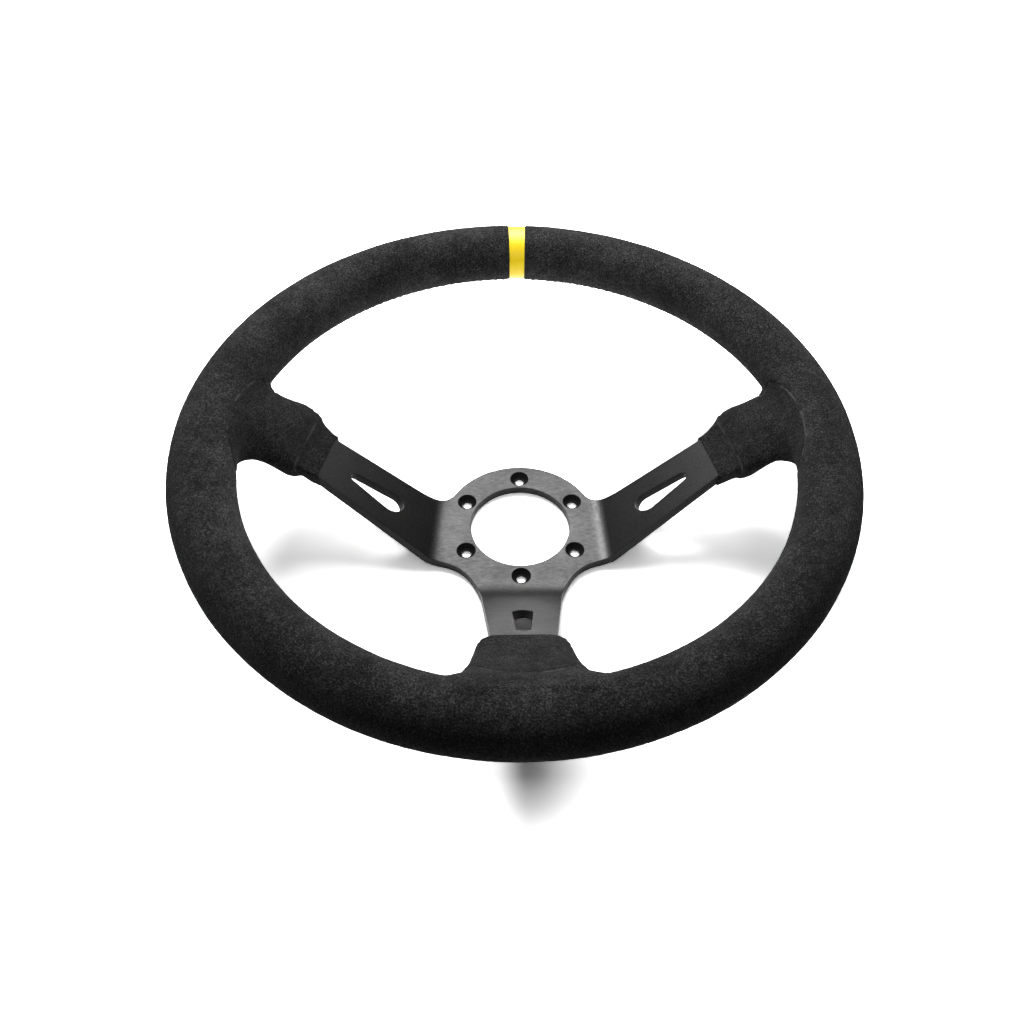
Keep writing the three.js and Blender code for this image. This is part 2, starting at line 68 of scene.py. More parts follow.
# Each spoke's fold: the heading it rises in, and the radius of its bend.
FOLDS = [(SIDE_FOLD, 18.0), (math.pi - SIDE_FOLD, 18.0), (-math.pi / 2, 30.0)]
SUEDE = 1.2  # thickness
MARKER_ANGLE = math.radians(90.24)
MARKER_HALF = math.radians(1.62)
HALF_PLATE = PLATE / 2 / math.cos(SLOPE)  # measured straight up through a sloping spoke
SIDE_SEAM_ANGLE = math.radians(5.2)  # of the side boots' seams, above the X axis
SKIRT_DEPTH = 1.6  # how far a suede piece's edge is tucked in under its neighbour
CUT_WIDTH = 0.8  # how far the pale cut edge at a seam reaches


def smooth_curve(knots):
    """A smooth function through (x, y) knots, level past both ends."""
    xs = np.array([x for x, _ in knots], float)
    ys = np.array([y for _, y in knots], float)
    slopes = np.gradient(ys, xs)

    def value(x):
        """Cubic Hermite interpolation."""
        x = np.clip(x, xs[0], xs[-1])
        i = np.clip(np.searchsorted(xs, x) - 1, 0, len(xs) - 2)
        span = xs[i + 1] - xs[i]
        t = (x - xs[i]) / span
        start = (1 + 2 * t) * (1 - t) ** 2 * ys[i] + t * (1 - t) ** 2 * span * slopes[i]
        end = t * t * (3 - 2 * t) * ys[i + 1] + t * t * (t - 1) * span * slopes[i + 1]
        return start + end

    return value


def plate_middle(x, y, fold):
    """Height of the middle of a spoke's sloping plate over the plan point (x, y)."""
    out = x * math.cos(fold) + y * math.sin(fold)
    return PLATE + (out - FOLD) * math.tan(SLOPE) - HALF_PLATE


@dataclass
class Root:
    """One padded spoke root, in millimetres.

    x, y and heading place it in plan, and shear slants its hub end. left and right are its half
    widths, up and down its heights from the plate's middle, and power says how square its section
    is. They all depend on the distance along the root, which grows towards the rim. blend is the
    width of the fillet into the grip, by the distance across. seam_shape says where the boot ends.
    """

    name: str
    fold: float
    x: float
    y: float
    heading: float
    shear: float
    start: float
    left: object
    right: object
    up: object
    down: object
    power: object
    blend: object
    end: float
    seam_shape: object
    flip: bool = False

    def own(self, p):
        """Points p as the right-hand root sees them, or back again."""
        return p * np.array([-1.0, 1.0, 1.0]) if self.flip else p

    def local(self, p):
        """Distance along the root, across it, and above the plate's middle, for points p."""
        p = self.own(p)
        dx, dy = p[..., 0] - self.x, p[..., 1] - self.y
        cos, sin = math.cos(self.heading), math.sin(self.heading)
        across = -dx * sin + dy * cos
        along = dx * cos + dy * sin + self.shear * across
        return along, across, p[..., 2] - plate_middle(p[..., 0], p[..., 1], self.fold)

    def point(self, along, across, height):
        """The other way round: the point with that place along, across and above."""
        along, across, height = np.broadcast_arrays(along, across, height)
        ahead = along - self.shear * across
        cos, sin = math.cos(self.heading), math.sin(self.heading)
        x = self.x + ahead * cos - across * sin
        y = self.y + ahead * sin + across * cos
        return self.own(np.stack([x, y, plate_middle(x, y, self.fold) + height], -1))

    def distance(self, p, begin):
        """Roughly how far points p lie outside this root's skin, which begins at along = begin."""
        along, across, height = self.local(p)
        left, right = self.left(along), self.right(along)
        half = (left + right) / 2
        rise = np.where(height > 0, self.up(along), self.down(along))
        power = self.power(along)
        side = np.abs(across - (left - right) / 2) / half
        lift = np.abs(height) / rise
        size = (side**power + lift**power) ** (1 / power) + 1e-6
        steepness = np.hypot(
            (side / size) ** (power - 1) / half,
            (lift / size) ** (power - 1) / (rise * math.cos(SLOPE)),
        )
        skin = (size - 1) / steepness
        return np.maximum(np.maximum(skin, along - self.end), begin - along)

    def near(self, p):
        """Which of points p this root's blend can reach."""
        along, across, _ = self.local(p)
        return (along > -20) & (np.abs(across) < 55)

    def seam(self, p):
        """How far points p lie on the rim's side of this boot's seam."""
        return self.seam_shape(self.own(p))


def grip_distance(p):
    """Roughly how far points p lie outside the grip's oval ring."""
    out = (np.hypot(p[..., 0], p[..., 1]) - RIM_RADIUS) / GRIP_HALF_WIDTH
    up = (p[..., 2] - RIM_HEIGHT) / GRIP_HALF_HEIGHT
    return (np.hypot(out, up) - 1) * GRIP_HALF_WIDTH


def smooth_least(a, b, width):
    """The lesser of a and b, rounded off where they are closer than width."""
    share = np.maximum(width - np.abs(a - b), 0) / width
    return np.minimum(a, b) - share * share * width / 4


def side_seam(p):
    """How far points p lie on the rim's side of the right-hand boot's seam, which is an oval."""
    across = -p[..., 0] * math.sin(SIDE_SEAM_ANGLE) + p[..., 1] * math.cos(SIDE_SEAM_ANGLE)
    out = p[..., 0] * math.cos(SIDE_SEAM_ANGLE) + p[..., 1] * math.sin(SIDE_SEAM_ANGLE)
    height = p[..., 2] - RIM_HEIGHT
    half_width = 30.5
    half_height = np.where(height > 0, 11.4, 14.5)
    size = np.sqrt((across / half_width) ** 2 + (height / half_height) ** 2) + 1e-9
    steepness = np.hypot(across / half_width**2, height / half_height**2) / size
    oval = (size - 1) / np.maximum(steepness, 0.01)
    near = (out > 60) & (np.hypot(p[..., 0], p[..., 1]) < RIM_RADIUS)
    return np.where(near, smooth_least(oval, 4.5 - grip_distance(p), 3.0), FAR)


def bottom_seam(p):
    """The same for the bottom boot, whose seam is an arch that is nearer the rim in its middle."""
    across, out = np.abs(p[..., 0]), -p[..., 1]
    half_width = 27.0
    arch = 118 + 17.8 * np.sqrt(np.clip(1 - (across / half_width) ** 2, 0, 1))
    past = np.maximum(across - half_width, 0) * 3
    return np.where(out > 60, (out - arch + past) * 0.8, FAR)


RIGHT_ROOT = Root(
    name="right",
    fold=SIDE_FOLD,
    x=114.6,
    y=19.3,
    heading=math.radians(10),
    shear=0.04,
    start=-10.5,
    left=smooth_curve([
        (-10, 16.2), (-7.6, 16.6), (-5.7, 17.4), (-3.8, 18.4), (-1.9, 19.6), (-0.3, 20.8),
        (0.4, 21.4), (1.2, 22.6), (2.2, 23.4), (4, 24.1), (7.6, 25.2), (9.6, 25.7), (13, 25.4),
        (18, 24.5), (23, 23.8), (28, 25.2), (36, 29),
    ]),
    right=smooth_curve([
        (-10.7, 17.4), (-4.6, 18.4), (-2.6, 18.7), (-0.6, 19.6), (0.4, 20.8), (1.7, 21.7),
        (4.2, 22.3), (11.7, 22.5), (15.8, 22.6), (17.8, 23), (19.9, 24.4), (22, 25.9), (26, 28),
        (31, 30.4), (36, 33),
    ]),
    up=smooth_curve([
        (-10, 4.5), (-1, 4.8), (-0.2, 5.3), (1, 7), (3, 8.4), (6, 9.6), (13, 11), (22, 13),
        (29, 13.8), (34, 12), (39, 8),
    ]),
    down=smooth_curve([
        (-10, 4.5), (-1, 4.6), (0, 5.2), (1.5, 6.6), (4, 7.6), (13, 8.2), (28, 8.4), (34, 8),
        (39, 6),
    ]),
    power=smooth_curve([(-10, 8), (-1, 7), (1, 4), (5, 3), (39, 2.6)]),
    blend=smooth_curve([(-22, 9), (0, 7), (22, 3.5)]),
    end=38.0,
    seam_shape=side_seam,
)
LEFT_ROOT = replace(
    RIGHT_ROOT,
    name="left",
    flip=True,
    left=smooth_curve([
        (-10, 16.7), (-7.7, 17.2), (-5.8, 18.3), (-3.9, 19.4), (-2, 20.8), (-1.1, 21.7),
        (-0.2, 23.3), (1.6, 25), (3.6, 25.6), (5.5, 26.1), (7.5, 26.9), (11.4, 27.2),
        (15.5, 26.3), (21.6, 25.2), (25.5, 26), (31.4, 28), (36, 29),
    ]),
    right=smooth_curve([
        (-10.8, 16.6), (-6.7, 17), (-4.7, 16.8), (-2.3, 16.3), (-0.8, 16.7), (0.2, 18),
        (1.5, 19.6), (4.1, 20.4), (7.6, 20.7), (11.6, 21), (15.7, 21.5), (18.8, 22.6),
        (21.9, 24.6), (26, 27), (31, 29.8), (36, 32.6),
    ]),
)
BOTTOM_WIDTH = smooth_curve([
    (-1.2, 17.9), (0, 19.2), (1.5, 20.5), (4, 22), (9, 23.4), (16, 24.7), (20, 25.4), (24, 26.2),
    (28, 27.2), (34, 29), (40, 31.4), (46, 34), (54, 37),
])
BOTTOM_ROOT = Root(
    name="bottom",
    fold=-math.pi / 2,
    x=-0.4,
    y=-95.5,
    heading=-math.pi / 2,
    shear=0.0,
    start=-1.2,
    left=BOTTOM_WIDTH,
    right=BOTTOM_WIDTH,
    up=smooth_curve([
        (-1.2, 6), (0, 6.8), (1.5, 7.6), (4, 8.4), (10, 9.4), (20, 11), (28, 12.6), (34, 14.2),
        (40, 15.8), (45.5, 17.8), (52, 16),
    ]),
    down=smooth_curve([
        (-1.2, 5.2), (1.5, 6.6), (4, 7.4), (15, 8.2), (40, 8.4), (48, 7.6), (56, 6),
    ]),
    power=smooth_curve([(-1, 5.5), (3, 4), (8, 3.2), (22, 3.4), (32, 5), (42, 6)]),
    blend=smooth_curve([
        (-44, 2), (-34, 6), (-24, 12), (-10, 8), (10, 8), (24, 12), (34, 6), (44, 2),
    ]),
    end=51.0,
    seam_shape=bottom_seam,
)
ROOTS = [RIGHT_ROOT, LEFT_ROOT, BOTTOM_ROOT]


def skin_distance(p, begin=-FAR):
    """Distance outside the blended skin of the grip and the three roots."""
    value = grip_distance(p)
    # The blend dies away towards the rim's outside, which stays round.
    fade_end, fade_length = RIM_RADIUS + 6, 10
    fade = np.clip((fade_end - np.hypot(p[..., 0], p[..., 1])) / fade_length, 0.02, 1)
    for root in ROOTS:
        near = root.near(p)
        q = p[near]
        width = root.blend(root.local(q)[1]) * fade[near]
        value[near] = smooth_least(value[near], root.distance(q, begin), width)
    return value


def skin_normal(p):
    """The distance's slope at points p, for which 0.05 mm steps are fine enough."""
    step = 0.05
    base = skin_distance(p)
    return np.stack([skin_distance(p + step * axis) - base for axis in np.eye(3)], -1) / step


def onto_skin(p, rounds=4):
    """Points p moved straight onto the skin, and its unit normals there."""
    for _ in range(rounds):
        slope = skin_normal(p)
        p = p - slope * (skin_distance(p) / np.maximum((slope**2).sum(-1), 0.05))[..., None]
    slope = skin_normal(p)
    return p, slope / np.linalg.norm(slope, axis=-1, keepdims=True)


def to_seams(p):
    """How far points p lie on the rim's side of the nearest boot seam."""
    return np.min([root.seam(p) for root in ROOTS], axis=0)


# ---- Meshes ----


def grid_faces(rows, columns):
    """Quads over a grid of points, row after row, each row a closed ring."""
    i = np.arange(rows - 1)[:, None]
    j = np.arange(columns)[None, :]
    a = i * columns + j
    b = i * columns + (j + 1) % columns
    c = (i + 1) * columns + (j + 1) % columns
    d = (i + 1) * columns + j
    return np.stack([a, b, c, d], -1).reshape(-1, 4)


def one_short(axis, ends):
    """Slices that leave out a grid's last layer, or its first where ends says 1.

    The first of ends is for the given axis, the others for the two axes after it."""
    picks = [slice(0, -1), slice(1, None)]
    slices = [None, None, None]
    for way, end in zip((axis, (axis + 1) % 3, (axis + 2) % 3), ends, strict=True):
        slices[way] = picks[end]
    return tuple(slices)


def surface_nets(values):
    """The zero surface of a grid of values: its points, in grid steps, and its quads."""
    cells = tuple(n - 1 for n in values.shape)
    total, count = np.zeros((*cells, 3)), np.zeros(cells)
    for axis in range(3):
        for second in (0, 1):
            for third in (0, 1):
                a = values[one_short(axis, (0, second, third))]
                b = values[one_short(axis, (1, second, third))]
                crossed = (a < 0) != (b < 0)
                total[..., axis][crossed] += (a / np.where(crossed, a - b, 1))[crossed]
                total[..., (axis + 1) % 3][crossed] += second
                total[..., (axis + 2) % 3][crossed] += third
                count += crossed
    active = count > 0
    index = np.full(cells, -1)
    index[active] = np.arange(active.sum())
    points = np.argwhere(active) + total[active] / count[active][:, None]
    quads = []
    for axis in range(3):
        inner = [slice(1, -1)] * 3
        inner[axis] = slice(0, -1)
        a = values[tuple(inner)]
        inner[axis] = slice(1, None)
        crossed = (a < 0) != (values[tuple(inner)] < 0)
        around = []
        for second, third in ((0, 0), (1, 0), (1, 1), (0, 1)):
            pick = list(one_short(axis, (0, second, third)))
            pick[axis] = slice(None)
            around.append(index[tuple(pick)][crossed])
        quads.append(np.stack(around, -1))
    return points, np.vstack(quads)


def along_axes(net, axes):
    """A net's points, turned from grid steps into values along each of the three axes."""
    return [np.interp(net[:, k], np.arange(len(axis)), axis) for k, axis in enumerate(axes)]


def relaxed(points, quads):
    """Evens out a net's points, without letting them leave the skin."""
    pairs = np.vstack([quads[:, [k, (k + 1) % 4]] for k in range(4)])
    pairs = np.vstack([pairs, pairs[:, ::-1]])
    for _ in range(2):
        total, count = np.zeros_like(points), np.zeros(len(points))
        np.add.at(total, pairs[:, 0], points[pairs[:, 1]])
        np.add.at(count, pairs[:, 0], 1)
        whole = count >= 6
        middle = total[whole] / count[whole][:, None]
        points = points.copy()
        points[whole] = 0.4 * points[whole] + 0.6 * middle
        points, _ = onto_skin(points, 1)
    return points


def skin_net(axes, place):
    """The blended skin as a quad mesh. place turns values along the axes into points in space."""
    grid = np.meshgrid(*axes, indexing="ij")
    net, quads = surface_nets(skin_distance(place(*grid)))
    points, _ = onto_skin(place(*along_axes(net, axes)), 2)
    return relaxed(points, quads), quads


def trim(points, quads, depth):
    """Cuts a quad mesh along depth = 0 and keeps what is above.

    Returns the points and faces that are left, and the cut's edges."""
    points = list(map(tuple, points))
    cuts = {}

    def crossing(a, b):
        """The point where the edge from a to b is cut."""
        key = (min(a, b), max(a, b))
        if key not in cuts:
            t = depth[a] / (depth[a] - depth[b])
            cuts[key] = len(points)
            ends = zip(points[a], points[b], strict=True)
            points.append(tuple((1 - t) * p + t * q for p, q in ends))
        return cuts[key]

    faces, border = [], []
    inside = depth[quads] > 0
    faces.extend(map(tuple, quads[inside.all(1)].tolist()))
    for quad in quads[inside.any(1) & ~inside.all(1)].tolist():
        polygon, rim = [], []
        for a, b in zip(quad, quad[1:] + quad[:1], strict=True):
            if depth[a] > 0:
                polygon.append(a)
            if (depth[a] > 0) != (depth[b] > 0):
                cut = crossing(a, b)
                polygon.append(cut)
                rim.append(cut)
        faces.append(tuple(polygon))
        if len(rim) == 2:
            border.append((rim[0], rim[1]))
    used = sorted({i for face in faces for i in face})
    new = {old: i for i, old in enumerate(used)}
    faces = [tuple(new[i] for i in face) for face in faces]
    border = [(new[a], new[b]) for a, b in border]
    return np.array([points[i] for i in used]), faces, border


def linked(name, data):
    """A new object in the scene."""
    thing = bpy.data.objects.new(name, data)
    bpy.context.scene.collection.objects.link(thing)
    return thing


def make(name, points, faces, *materials):
    """A mesh object from points in millimetres."""
    mesh = bpy.data.meshes.new(name)
    mesh.from_pydata((np.asarray(points) * MM).tolist(), [], [tuple(face) for face in faces])
    mesh.validate()
    work = bmesh.new()
    work.from_mesh(mesh)
    bmesh.ops.recalc_face_normals(work, faces=work.faces)
    work.to_mesh(mesh)
    work.free()
    mesh.shade_smooth()
    for material in materials:
        mesh.materials.append(material)
    return linked(name, mesh)


# The swells, the lumps and the nap of hand-stretched suede: size and height, in millimetres.
SUEDE_RELIEF = [(24, 0.16), (6.5, 0.06), (1.5, 0.11)]


def suede_relief(points, seed):
    """Height of the suede's relief at each point, in millimetres."""
    shift = Vector((seed * 13.7, seed * 7.1, seed * 3.3))
    relief = []
    for point in points:
        p = Vector(point)
        relief.append(sum(noise.noise(p / size + shift) * height for size, height in SUEDE_RELIEF))
    return np.array(relief)


def dip(away, width, depth, power):
    """How far the suede sinks in a groove of that half width and depth, a distance away from it."""
    return depth * np.clip(1 - away / width, 0, 1) ** power


def seam_dip(away):
    """How far the suede rolls down towards a boot's seam."""
    return dip(np.abs(away), 1.5, 0.62, 2)


def with_skirt(points, faces, border, offset):
    """Adds a strip of faces from the border edges to the same points moved by offset.

    offset has one vector for each point. Returns the points, the faces and the new border."""
    ring = sorted({i for edge in border for i in edge})
    place = {old: len(points) + k for k, old in enumerate(ring)}
    skirt = points[ring] + offset[ring]
    faces = faces + [(a, b, place[b], place[a]) for a, b in border]
    border = [(place[a], place[b]) for a, b in border]
    return np.vstack([points, skirt]), faces, border


def suede_piece(name, points, faces, edge_share, material):
    """The finished piece, with the share of pale cut edge at each point kept for the material."""
    piece = make(name, points, faces, material)
    mark = piece.data.attributes.new("cut_edge", "FLOAT", "POINT")
    mark.data.foreach_set("value", np.asarray(edge_share, np.float32))
    return piece


# ---- Materials ----


class Nodes:
    """A small helper that adds and links shader nodes."""

    def __init__(self, name):
        self.material = bpy.data.materials.new(name)
        self.material.use_nodes = True
        self.tree = self.material.node_tree
        self.tree.nodes.clear()
        output = self.add("ShaderNodeOutputMaterial")
        self.shader = self.add("ShaderNodeBsdfPrincipled")
        self.link(self.shader.outputs["BSDF"], output.inputs["Surface"])
        self.coords = self.add("ShaderNodeTexCoord").outputs["Object"]

    def add(self, kind, **settings):
        """A new node, with its settings."""
        node = self.tree.nodes.new(kind)
        for key, value in settings.items():
            setattr(node, key, value)
        return node

    def link(self, source, target):
        self.tree.links.new(source, target)

    def feed(self, socket, value):
        """Links a socket to another, or sets it to a number or a colour."""
        if isinstance(value, bpy.types.NodeSocket):
            self.link(value, socket)
        else:
            socket.default_value = (*value, 1) if isinstance(value, tuple) else value

    def set(self, **values):
        """Feeds the main shader's inputs; a name's underscores stand for spaces."""
        for key, value in values.items():
            self.feed(self.shader.inputs[key.replace("_", " ")], value)

    def stretched(self, scale):
        """The object's coordinates, scaled, so that what is drawn over them is stretched."""
        node = self.add("ShaderNodeMapping")
        node.inputs["Scale"].default_value = scale
        self.link(self.coords, node.inputs["Vector"])
        return node.outputs["Vector"]

    def noise(self, size_mm, detail=2.0, roughness=0.5, vector=None):
        """Noise with features of about size_mm."""
        node = self.add("ShaderNodeTexNoise")
        node.inputs["Scale"].default_value = 1 / (size_mm * MM)
        node.inputs["Detail"].default_value = detail
        node.inputs["Roughness"].default_value = roughness
        self.link(vector or self.coords, node.inputs["Vector"])
        return node.outputs["Fac"]

    def ramp(self, value, stops):
        """A colour ramp; a stop's colour may be one number."""
        node = self.add("ShaderNodeValToRGB")
        elements = node.color_ramp.elements
        while len(elements) < len(stops):
            elements.new(0.5)
        for element, (position, colour) in zip(elements, stops, strict=True):
            element.position = position
            element.color = (*(colour if isinstance(colour, tuple) else [colour] * 3), 1)
        self.link(value, node.inputs["Fac"])
        return node.outputs["Color"]

    def maths(self, operation, a, b):
        """A sum on a and b, each a number or a socket."""
        node = self.add("ShaderNodeMath", operation=operation)
        self.feed(node.inputs[0], a)
        self.feed(node.inputs[1], b)
        return node.outputs[0]

    def mix(self, share, a, b):
        """Colour a, with share of colour b laid over it."""
        node = self.add("ShaderNodeMix", data_type="RGBA")
        self.feed(node.inputs[0], share)
        self.feed(node.inputs[6], a)
        self.feed(node.inputs[7], b)
        return node.outputs[2]

    def bump(self, height, distance_mm, strength):
        """Surface normals for a relief of distance_mm."""
        node = self.add("ShaderNodeBump")
        node.inputs["Strength"].default_value = strength
        node.inputs["Distance"].default_value = distance_mm * MM
        self.link(height, node.inputs["Height"])
        return node.outputs["Normal"]


LINT = (0.14, 0.135, 0.13)
CUT_EDGE = (0.13, 0.13, 0.13)


def suede_material(name, shade):
    """Black suede: a short fibrous nap, brushed lighter and darker in patches, with some lint."""
    m = Nodes(name)
    patches = m.noise(30, detail=3, roughness=0.6)
    strokes = m.noise(5, detail=3, roughness=0.6)
    fibres = m.noise(0.8, detail=3, roughness=0.75)
    tone = m.maths("ADD", m.maths("MULTIPLY", patches, 0.25), m.maths("MULTIPLY", strokes, 0.2))
    tone = m.maths("ADD", tone, fibres)
    colour = m.ramp(tone, [(0.58, 0.006 * shade), (0.73, 0.021 * shade), (0.92, 0.085 * shade)])
    speck = m.add("ShaderNodeTexVoronoi")
    speck.inputs["Scale"].default_value = 1 / (7 * MM)
    m.link(m.coords, speck.inputs["Vector"])
    lint = m.maths("LESS_THAN", speck.outputs["Distance"], 0.05)
    chosen = m.maths("GREATER_THAN", m.noise(11), 0.56)
    colour = m.mix(m.maths("MULTIPLY", m.maths("MULTIPLY", lint, chosen), 0.55), colour, LINT)
    edge = m.add("ShaderNodeAttribute", attribute_name="cut_edge").outputs["Fac"]
    worn = m.ramp(m.noise(9, detail=2), [(0.44, 0.06), (0.6, 0.75)])
    colour = m.mix(m.maths("MULTIPLY", m.maths("POWER", edge, 2.0), worn), colour, CUT_EDGE)
    m.set(Base_Color=colour, Normal=m.bump(fibres, 1.0, 0.9))
    m.set(Roughness=0.95, Specular_IOR_Level=0.04, Sheen_Weight=0.03, Sheen_Roughness=0.5)
    return m.material


def plate_material():
    """Black-anodised aluminium with a fine brushed grain."""
    m = Nodes("black_anodised")
    grain = m.noise(0.6, detail=4, roughness=0.75, vector=m.stretched((0.2, 1, 1)))
    cloud = m.noise(18, detail=3)
    tone = m.maths("ADD", m.maths("MULTIPLY", grain, 0.75), m.maths("MULTIPLY", cloud, 0.25))
    m.set(Base_Color=m.ramp(tone, [(0.36, 0.022), (0.64, 0.045)]))
    m.set(Roughness=m.ramp(tone, [(0.32, 0.40), (0.68, 0.30)]))
    m.set(Normal=m.bump(grain, 0.05, 0.6), Metallic=1.0)
    return m.material


def plate_edge_painted_shade_material():
    """Painted shade on the plate's walls and lower bevels: a much darker black than its top,
    without the brushing.
    """
    m = Nodes("black_anodised_edge_painted_shade")
    marks = m.noise(0.8, detail=3)
    m.set(Base_Color=m.ramp(marks, [(0.3, 0.004), (0.7, 0.008)]))
    m.set(Normal=m.bump(marks, 0.04, 0.4), Roughness=0.5, Specular_IOR_Level=0.12)
    return m.material


def marker_material():
    """Smooth yellow synthetic leather with a very fine grain."""
    m = Nodes("yellow_leather")
    grain = m.noise(0.6, detail=3)
    yellow = m.ramp(grain, [(0.3, (0.82, 0.58, 0.004)), (0.7, (0.9, 0.66, 0.01))])
    m.set(Base_Color=yellow, Normal=m.bump(grain, 0.08, 0.4))
    m.set(Roughness=0.4, Specular_IOR_Level=0.5)
    return m.material


def thread_material():
    """Black sewing thread, with the twist of its strands."""
    m = Nodes("black_thread")
    twist = m.noise(0.35, detail=2, vector=m.stretched((1, 1, 2.5)))
    m.set(Base_Color=m.ramp(twist, [(0.3, 0.008), (0.7, 0.028)]))
    m.set(Normal=m.bump(twist, 0.1, 0.6), Roughness=0.7, Sheen_Weight=0.15)
    return m.material


def bare_metal(name, colour, roughness):
    """Uncoated metal with fine scuffs along it."""
    m = Nodes(name)
    scuff = m.noise(1.2, detail=3, roughness=0.6, vector=m.stretched((0.3, 1, 1)))
    m.set(Base_Color=m.ramp(scuff, [(0.3, colour * 0.85), (0.7, colour)]))
    m.set(Roughness=m.ramp(scuff, [(0.3, roughness * 0.8), (0.7, roughness * 1.2)]))
    m.set(Normal=m.bump(scuff, 0.05, 0.4), Metallic=1.0)
    return m.material


def foam_material():
    """Moulded polyurethane with a pebbled integral skin."""
    m = Nodes("moulded_foam")
    cells = m.noise(0.9, detail=3)
    m.set(Base_Color=m.ramp(cells, [(0.3, 0.012), (0.7, 0.03)]))
    m.set(Normal=m.bump(cells, 0.3, 0.6), Roughness=0.85)
    return m.material


RIM_SUEDE_MATERIAL = suede_material("black_suede", 0.88)
# Painted shade: the boots are darker copies of the rim's suede, the side boots darkest.
SIDE_BOOT_SHADED_SUEDE = suede_material("black_suede_side_boots_painted_shade", 0.56)
BOTTOM_BOOT_SHADED_SUEDE = suede_material("black_suede_bottom_boot_painted_shade", 0.72)
PLATE_MATERIAL = plate_material()
PLATE_EDGE_PAINTED_SHADE = plate_edge_painted_shade_material()
MARKER_MATERIAL = marker_material()
THREAD_MATERIAL = thread_material()
FOAM_MATERIAL = foam_material()
CORE_MATERIAL = bare_metal("mill_aluminium", 0.68, 0.4)
RIVET_MATERIAL = bare_metal("rivet_aluminium", 0.75, 0.32)


# ---- The rim's suede ----

SEAM_PHI = math.radians(232)  # where the laced seam lies, round the grip's section
LACING_HALF = 1.6  # half the width of the dip along it


def grip_point(theta, phi, reach):
    """Points theta round the wheel and phi round the grip's section, at a share, reach, of it."""
    theta, phi, reach = np.broadcast_arrays(theta, phi, reach)
    radius = RIM_RADIUS + GRIP_HALF_WIDTH * reach * np.cos(phi)
    height = RIM_HEIGHT + GRIP_HALF_HEIGHT * reach * np.sin(phi)
    return np.stack([radius * np.cos(theta), radius * np.sin(theta), height], -1)


def packed_range(start, end, places, wide, fine, spread):
    """Values from start to end in steps of about wide, or fine within spread of each place."""
    samples = np.linspace(start, end, 4000)
    near = np.min([np.abs(samples - place) for place in places], axis=0)
    blend = np.clip((near - spread) / spread, 0, 1)
    density = 1 / (fine + (wide - fine) * blend)
    total = np.concatenate([[0], np.cumsum((density[1:] + density[:-1]) / 2 * np.diff(samples))])
    count = int(math.ceil(total[-1])) + 1
    return np.interp(np.linspace(0, total[-1], count), total, samples)


def from_marker(p):
    """Distance round the rim from the near edge of the yellow band."""
    past_top = math.pi / 2 - np.arctan2(p[..., 0], p[..., 1])
    return (np.abs(past_top - MARKER_ANGLE) - MARKER_HALF) * RIM_RADIUS


def from_lacing(p):
    """Distance round the grip's section from the laced seam on its back."""
    out = (np.hypot(p[..., 0], p[..., 1]) - RIM_RADIUS) / GRIP_HALF_WIDTH
    angle = np.arctan2((p[..., 2] - RIM_HEIGHT) / GRIP_HALF_HEIGHT, out)
    return np.abs((angle - SEAM_PHI + math.pi) % (2 * math.pi) - math.pi) * GRIP_HALF_WIDTH


def rim_suede():
    """The suede round the grip, from one edge of the yellow band round to its other edge."""
    start, end = MARKER_ANGLE + MARKER_HALF, MARKER_ANGLE + 2 * math.pi - MARKER_HALF
    mm_round = 1 / RIM_RADIUS
    roots = [math.pi - SIDE_SEAM_ANGLE, math.pi * 1.5, 2 * math.pi + SIDE_SEAM_ANGLE]
    edge = np.array([-0.8, -0.3, 0.2, 0.7, 1.3, 2.0, 3.0]) * mm_round
    inset, wide, fine = 4 * mm_round, 2.2 * mm_round, 0.85 * mm_round
    middle = packed_range(start + inset, end - inset, roots, wide, fine, math.radians(13))
    theta = np.concatenate([start + edge, middle, (end - edge)[::-1]])
    step = 1.15
    radius = np.arange(RIM_RADIUS - 46, RIM_RADIUS + GRIP_HALF_WIDTH + 3, step)
    height = np.arange(RIM_HEIGHT - 37, RIM_HEIGHT + GRIP_HALF_HEIGHT + 6, step)
    points, quads = skin_net(
        (theta, radius, height),
        lambda t, r, z: np.stack([r * np.cos(t), r * np.sin(t), z], -1),
    )
    points, faces, border = trim(points, quads, np.minimum(to_seams(points), from_marker(points)))
    _, normals = onto_skin(points, 0)
    depth, to_marker = to_seams(points), from_marker(points)
    lacing = dip(from_lacing(points), LACING_HALF, 0.85, 1.5)
    fold = dip(to_marker, 1.5, 0.75, 2.2)
    sink = seam_dip(depth) + lacing + fold
    edge_share = np.clip(1 - depth / CUT_WIDTH, 0, 1)
    points = points + normals * (suede_relief(points, 1) - sink)[:, None]
    points, faces, _ = with_skirt(points, faces, border, -SKIRT_DEPTH * normals)
    edge_share = np.concatenate([edge_share, np.zeros(len(points) - len(edge_share))])
    return suede_piece("rim_suede", points, faces, edge_share, RIM_SUEDE_MATERIAL)


# ---- The boots' suede ----


